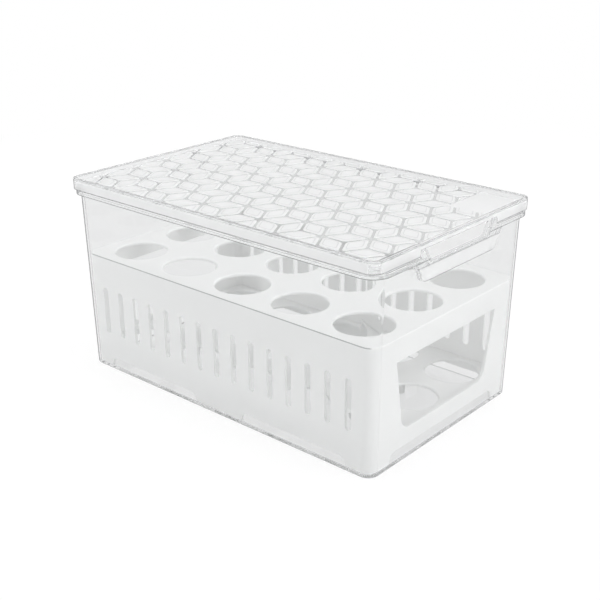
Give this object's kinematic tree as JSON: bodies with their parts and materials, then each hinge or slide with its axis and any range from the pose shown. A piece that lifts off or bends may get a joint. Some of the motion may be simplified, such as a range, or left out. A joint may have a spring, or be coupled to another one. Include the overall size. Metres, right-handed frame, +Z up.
{
  "type": "egg holder",
  "caption": "Clear lidded box for eggs with a low perforated tray on its floor and a tall slotted rack with egg holes above it.",
  "frame": {"origin": "middle of the bin's flat underside, where the box stands", "axes": "+Z up, +Y along the length of the box, +X across it; a hand grip is at each Y end"},
  "size_m": [0.1806, 0.2894, 0.1518],
  "materials": {
    "clear_bin": "clear, polished, very faintly grey",
    "white_plastic": "moulded white, soft satin",
    "clear_lid": "clear, polished, with a raised lozenge pattern"
  },
  "bodies": {
    "bin": {"bin": "clear_bin"},
    "lower_tray": {"lower_tray": "white_plastic"},
    "egg_rack": {"egg_rack": "white_plastic"},
    "lid": {"lid": "clear_lid"}
  },
  "joints": [
    {"name": "tray_lift", "type": "slide", "parent": "bin", "child": "lower_tray", "axis": [0, 0, 1], "range_m": [0, 0.16]},
    {"name": "rack_lift", "type": "slide", "parent": "lower_tray", "child": "egg_rack", "axis": [0, 0, 1], "range_m": [0, 0.16]},
    {"name": "lid_lift", "type": "slide", "parent": "egg_rack", "child": "lid", "axis": [0, 0, 1], "range_m": [0, 0.08]}
  ]
}
